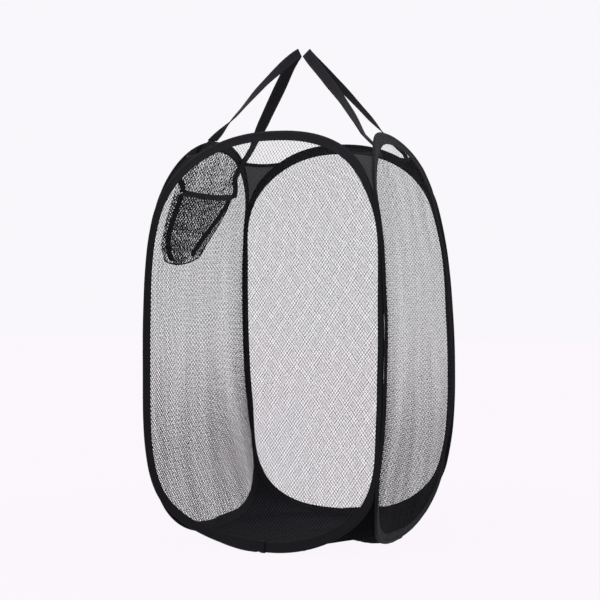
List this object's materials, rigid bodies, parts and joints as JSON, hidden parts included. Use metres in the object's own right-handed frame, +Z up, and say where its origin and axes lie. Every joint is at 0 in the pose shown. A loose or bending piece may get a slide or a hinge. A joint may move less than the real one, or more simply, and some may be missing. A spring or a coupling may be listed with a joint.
{
  "type": "pop up laundry hamper",
  "caption": "Square pop-up laundry hamper with sprung wire loops in cloth bindings, mesh sides, a cloth floor, an inside pocket and webbing handles; it folds flat.",
  "frame": {"origin": "on the ground under the middle of the open hamper", "axes": "+Z up; the front mesh side faces -Y; the pocket is inside the -X side and the handles are on the -X and +X sides"},
  "size_m": [0.3598, 0.356, 0.717],
  "materials": {
    "spring_wire": "satin steel wire",
    "ferrule": "satin steel tube",
    "binding": "matt woven tape",
    "gusset_cloth": "matt plain-weave cloth",
    "floor_cloth": "matt plain-weave cloth",
    "mesh_net": "matt knitted mesh",
    "webbing": "matt ribbed webbing"
  },
  "bodies": {
    "front": {"front_wire_loop": "spring_wire", "front_wire_ferrule": "ferrule", "front_binding": "binding", "front_mesh": "mesh_net", "floor_cloth": "floor_cloth", "top_gusset_front_right": "gusset_cloth", "bottom_gusset_front_right": "gusset_cloth", "top_gusset_front_left": "gusset_cloth", "bottom_gusset_front_left": "gusset_cloth"},
    "left": {"left_wire_loop": "spring_wire", "left_wire_ferrule": "ferrule", "left_binding": "binding", "left_mesh": "mesh_net", "left_handle_near_end": "webbing", "left_handle_far_end": "webbing", "top_gusset_back_left": "gusset_cloth", "bottom_gusset_back_left": "gusset_cloth", "pocket_back_mesh": "mesh_net", "pocket_near_side": "gusset_cloth", "pocket_far_side": "gusset_cloth", "pocket_near_rim": "binding", "pocket_far_rim": "binding"},
    "right": {"right_wire_loop": "spring_wire", "right_wire_ferrule": "ferrule", "right_binding": "binding", "right_mesh": "mesh_net", "right_handle_near_end": "webbing", "right_handle_far_end": "webbing"},
    "back": {"back_wire_loop": "spring_wire", "back_wire_ferrule": "ferrule", "back_binding": "binding", "back_mesh": "mesh_net", "top_gusset_back_right": "gusset_cloth", "bottom_gusset_back_right": "gusset_cloth"},
    "pocket_front": {"pocket_front_mesh": "mesh_net", "pocket_mouth_band": "binding", "pocket_near_seam": "binding", "pocket_far_seam": "binding"},
    "handle_left": {"left_handle": "webbing"},
    "handle_right": {"right_handle": "webbing"}
  },
  "joints": [
    {"name": "fold_left", "type": "hinge", "parent": "front", "child": "left", "pos_m": [-0.1724, -0.1724, 0], "axis": [0, 0, -1], "range_deg": [0, 84], "stiffness_Nm_per_rad": 0.25, "springref_deg": -17.19, "deforming": ["top_gusset_front_left", "bottom_gusset_front_left", "left_handle_near_end", "left_handle_far_end"]},
    {"name": "fold_right", "type": "hinge", "parent": "front", "child": "right", "pos_m": [0.178, -0.178, 0], "axis": [0, 0, -1], "range_deg": [0, 84], "deforming": ["top_gusset_front_right", "bottom_gusset_front_right", "top_gusset_back_right", "bottom_gusset_back_right", "right_handle_near_end", "right_handle_far_end"]},
    {"name": "fold_back", "type": "hinge", "parent": "left", "child": "back", "pos_m": [-0.178, 0.178, 0], "axis": [0, 0, -1], "range_deg": [-84, 0], "deforming": ["top_gusset_back_left", "bottom_gusset_back_left"]},
    {"name": "pocket_close", "type": "hinge", "parent": "left", "child": "pocket_front", "pos_m": [-0.173, 0, 0.408], "axis": [0, -1, 0], "range_deg": [0, 8], "deforming": ["pocket_near_side", "pocket_far_side", "pocket_near_rim", "pocket_far_rim"]},
    {"name": "handle_left_swing", "type": "hinge", "parent": "left", "child": "handle_left", "pos_m": [-0.137, 0, 0.58142], "axis": [0, -1, 0], "range_deg": [0, 122]},
    {"name": "handle_right_swing", "type": "hinge", "parent": "right", "child": "handle_right", "pos_m": [0.12, 0, 0.58142], "axis": [0, 1, 0], "range_deg": [0, 122]}
  ],
  "couplings": [
    {"joint": "fold_right", "follows": "fold_left", "ratio": 1},
    {"joint": "fold_back", "follows": "fold_left", "ratio": -1},
    {"joint": "pocket_close", "follows": "fold_left", "ratio": 0.095}
  ]
}
